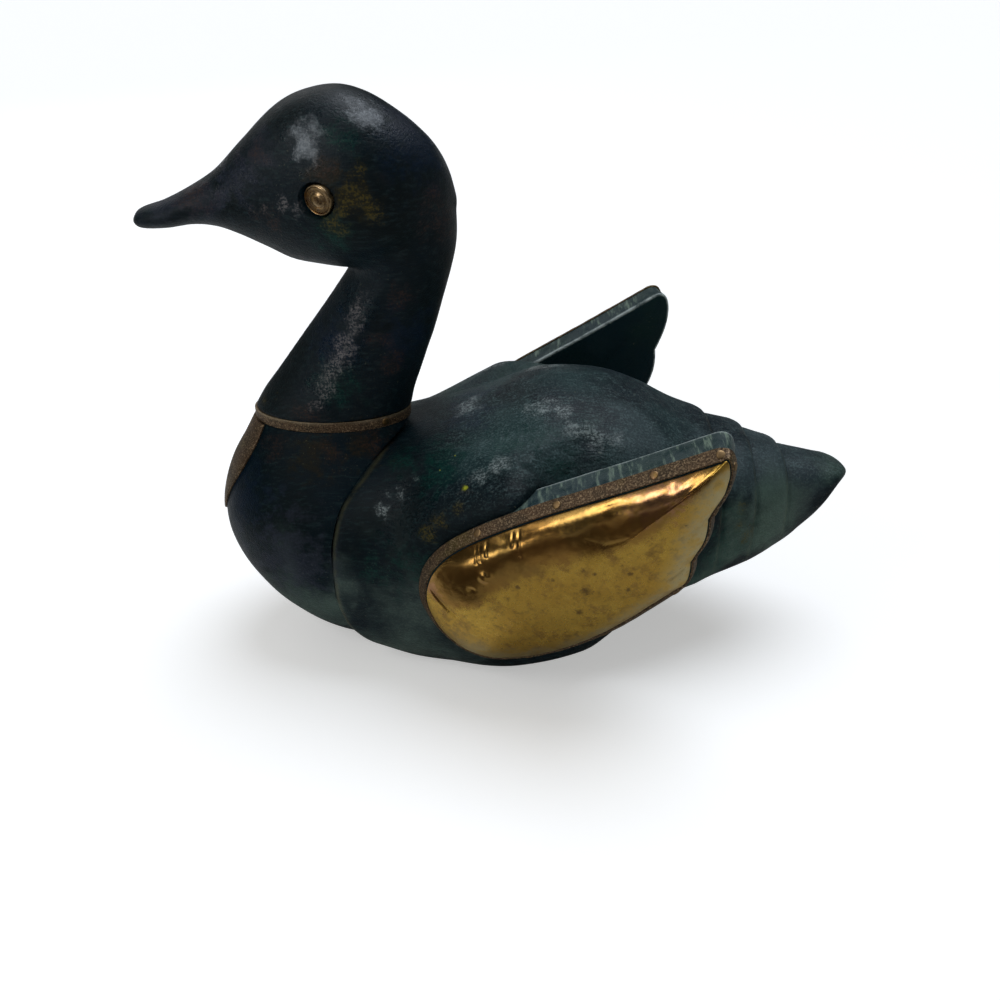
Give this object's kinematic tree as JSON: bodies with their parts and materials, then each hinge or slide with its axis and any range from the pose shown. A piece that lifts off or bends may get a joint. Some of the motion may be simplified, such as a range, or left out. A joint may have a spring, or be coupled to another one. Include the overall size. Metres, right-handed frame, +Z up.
{
  "type": "wooden duck carving",
  "caption": "Decorative duck of dark painted wood on a flat base, with splayed wings faced in domed brass and edged with pinned copper strip, a copper collar and brass eyes.",
  "frame": {"origin": "middle of the duck's length and width, on the surface that the flat base rests on", "axes": "+X from the bill to the tail, +Y towards the duck's right wing, +Z up"},
  "size_m": [0.3052, 0.1844, 0.2453],
  "materials": {
    "paint": "dark green paint, semi-gloss, worn to olive in places",
    "bare_wood": "planed",
    "brass": "beaten sheet, lightly tarnished",
    "copper": "brown copper strip, stippled",
    "steel": "plain screw"
  },
  "bodies": {
    "root": {"body_block": "paint", "breast_block": "paint", "head_and_neck": "paint", "neck_dowel": "bare_wood", "left_body_dowel": "bare_wood", "right_body_dowel": "bare_wood", "collar_band": "copper", "left_collar_pin": "brass", "right_collar_pin": "brass", "breast_strip": "copper", "breast_strip_pin": "brass", "left_eye_ring": "brass", "left_eye_stud": "brass", "right_eye_ring": "brass", "right_eye_stud": "brass", "left_wing_board": "paint", "left_wing_brass": "brass", "left_wing_edging": "copper", "left_wing_front_screw": "steel", "left_wing_rear_screw": "steel", "left_wing_pin_1": "brass", "left_wing_pin_2": "brass", "left_wing_pin_3": "brass", "left_wing_pin_4": "brass", "left_wing_pin_5": "brass", "left_wing_pin_6": "brass", "left_wing_pin_7": "brass", "left_wing_pin_8": "brass", "left_wing_pin_9": "brass", "left_wing_pin_10": "brass", "right_wing_board": "paint", "right_wing_brass": "brass", "right_wing_edging": "copper", "right_wing_front_screw": "steel", "right_wing_rear_screw": "steel", "right_wing_pin_1": "brass", "right_wing_pin_2": "brass", "right_wing_pin_3": "brass", "right_wing_pin_4": "brass", "right_wing_pin_5": "brass", "right_wing_pin_6": "brass", "right_wing_pin_7": "brass", "right_wing_pin_8": "brass", "right_wing_pin_9": "brass", "right_wing_pin_10": "brass"}
  },
  "joints": []
}
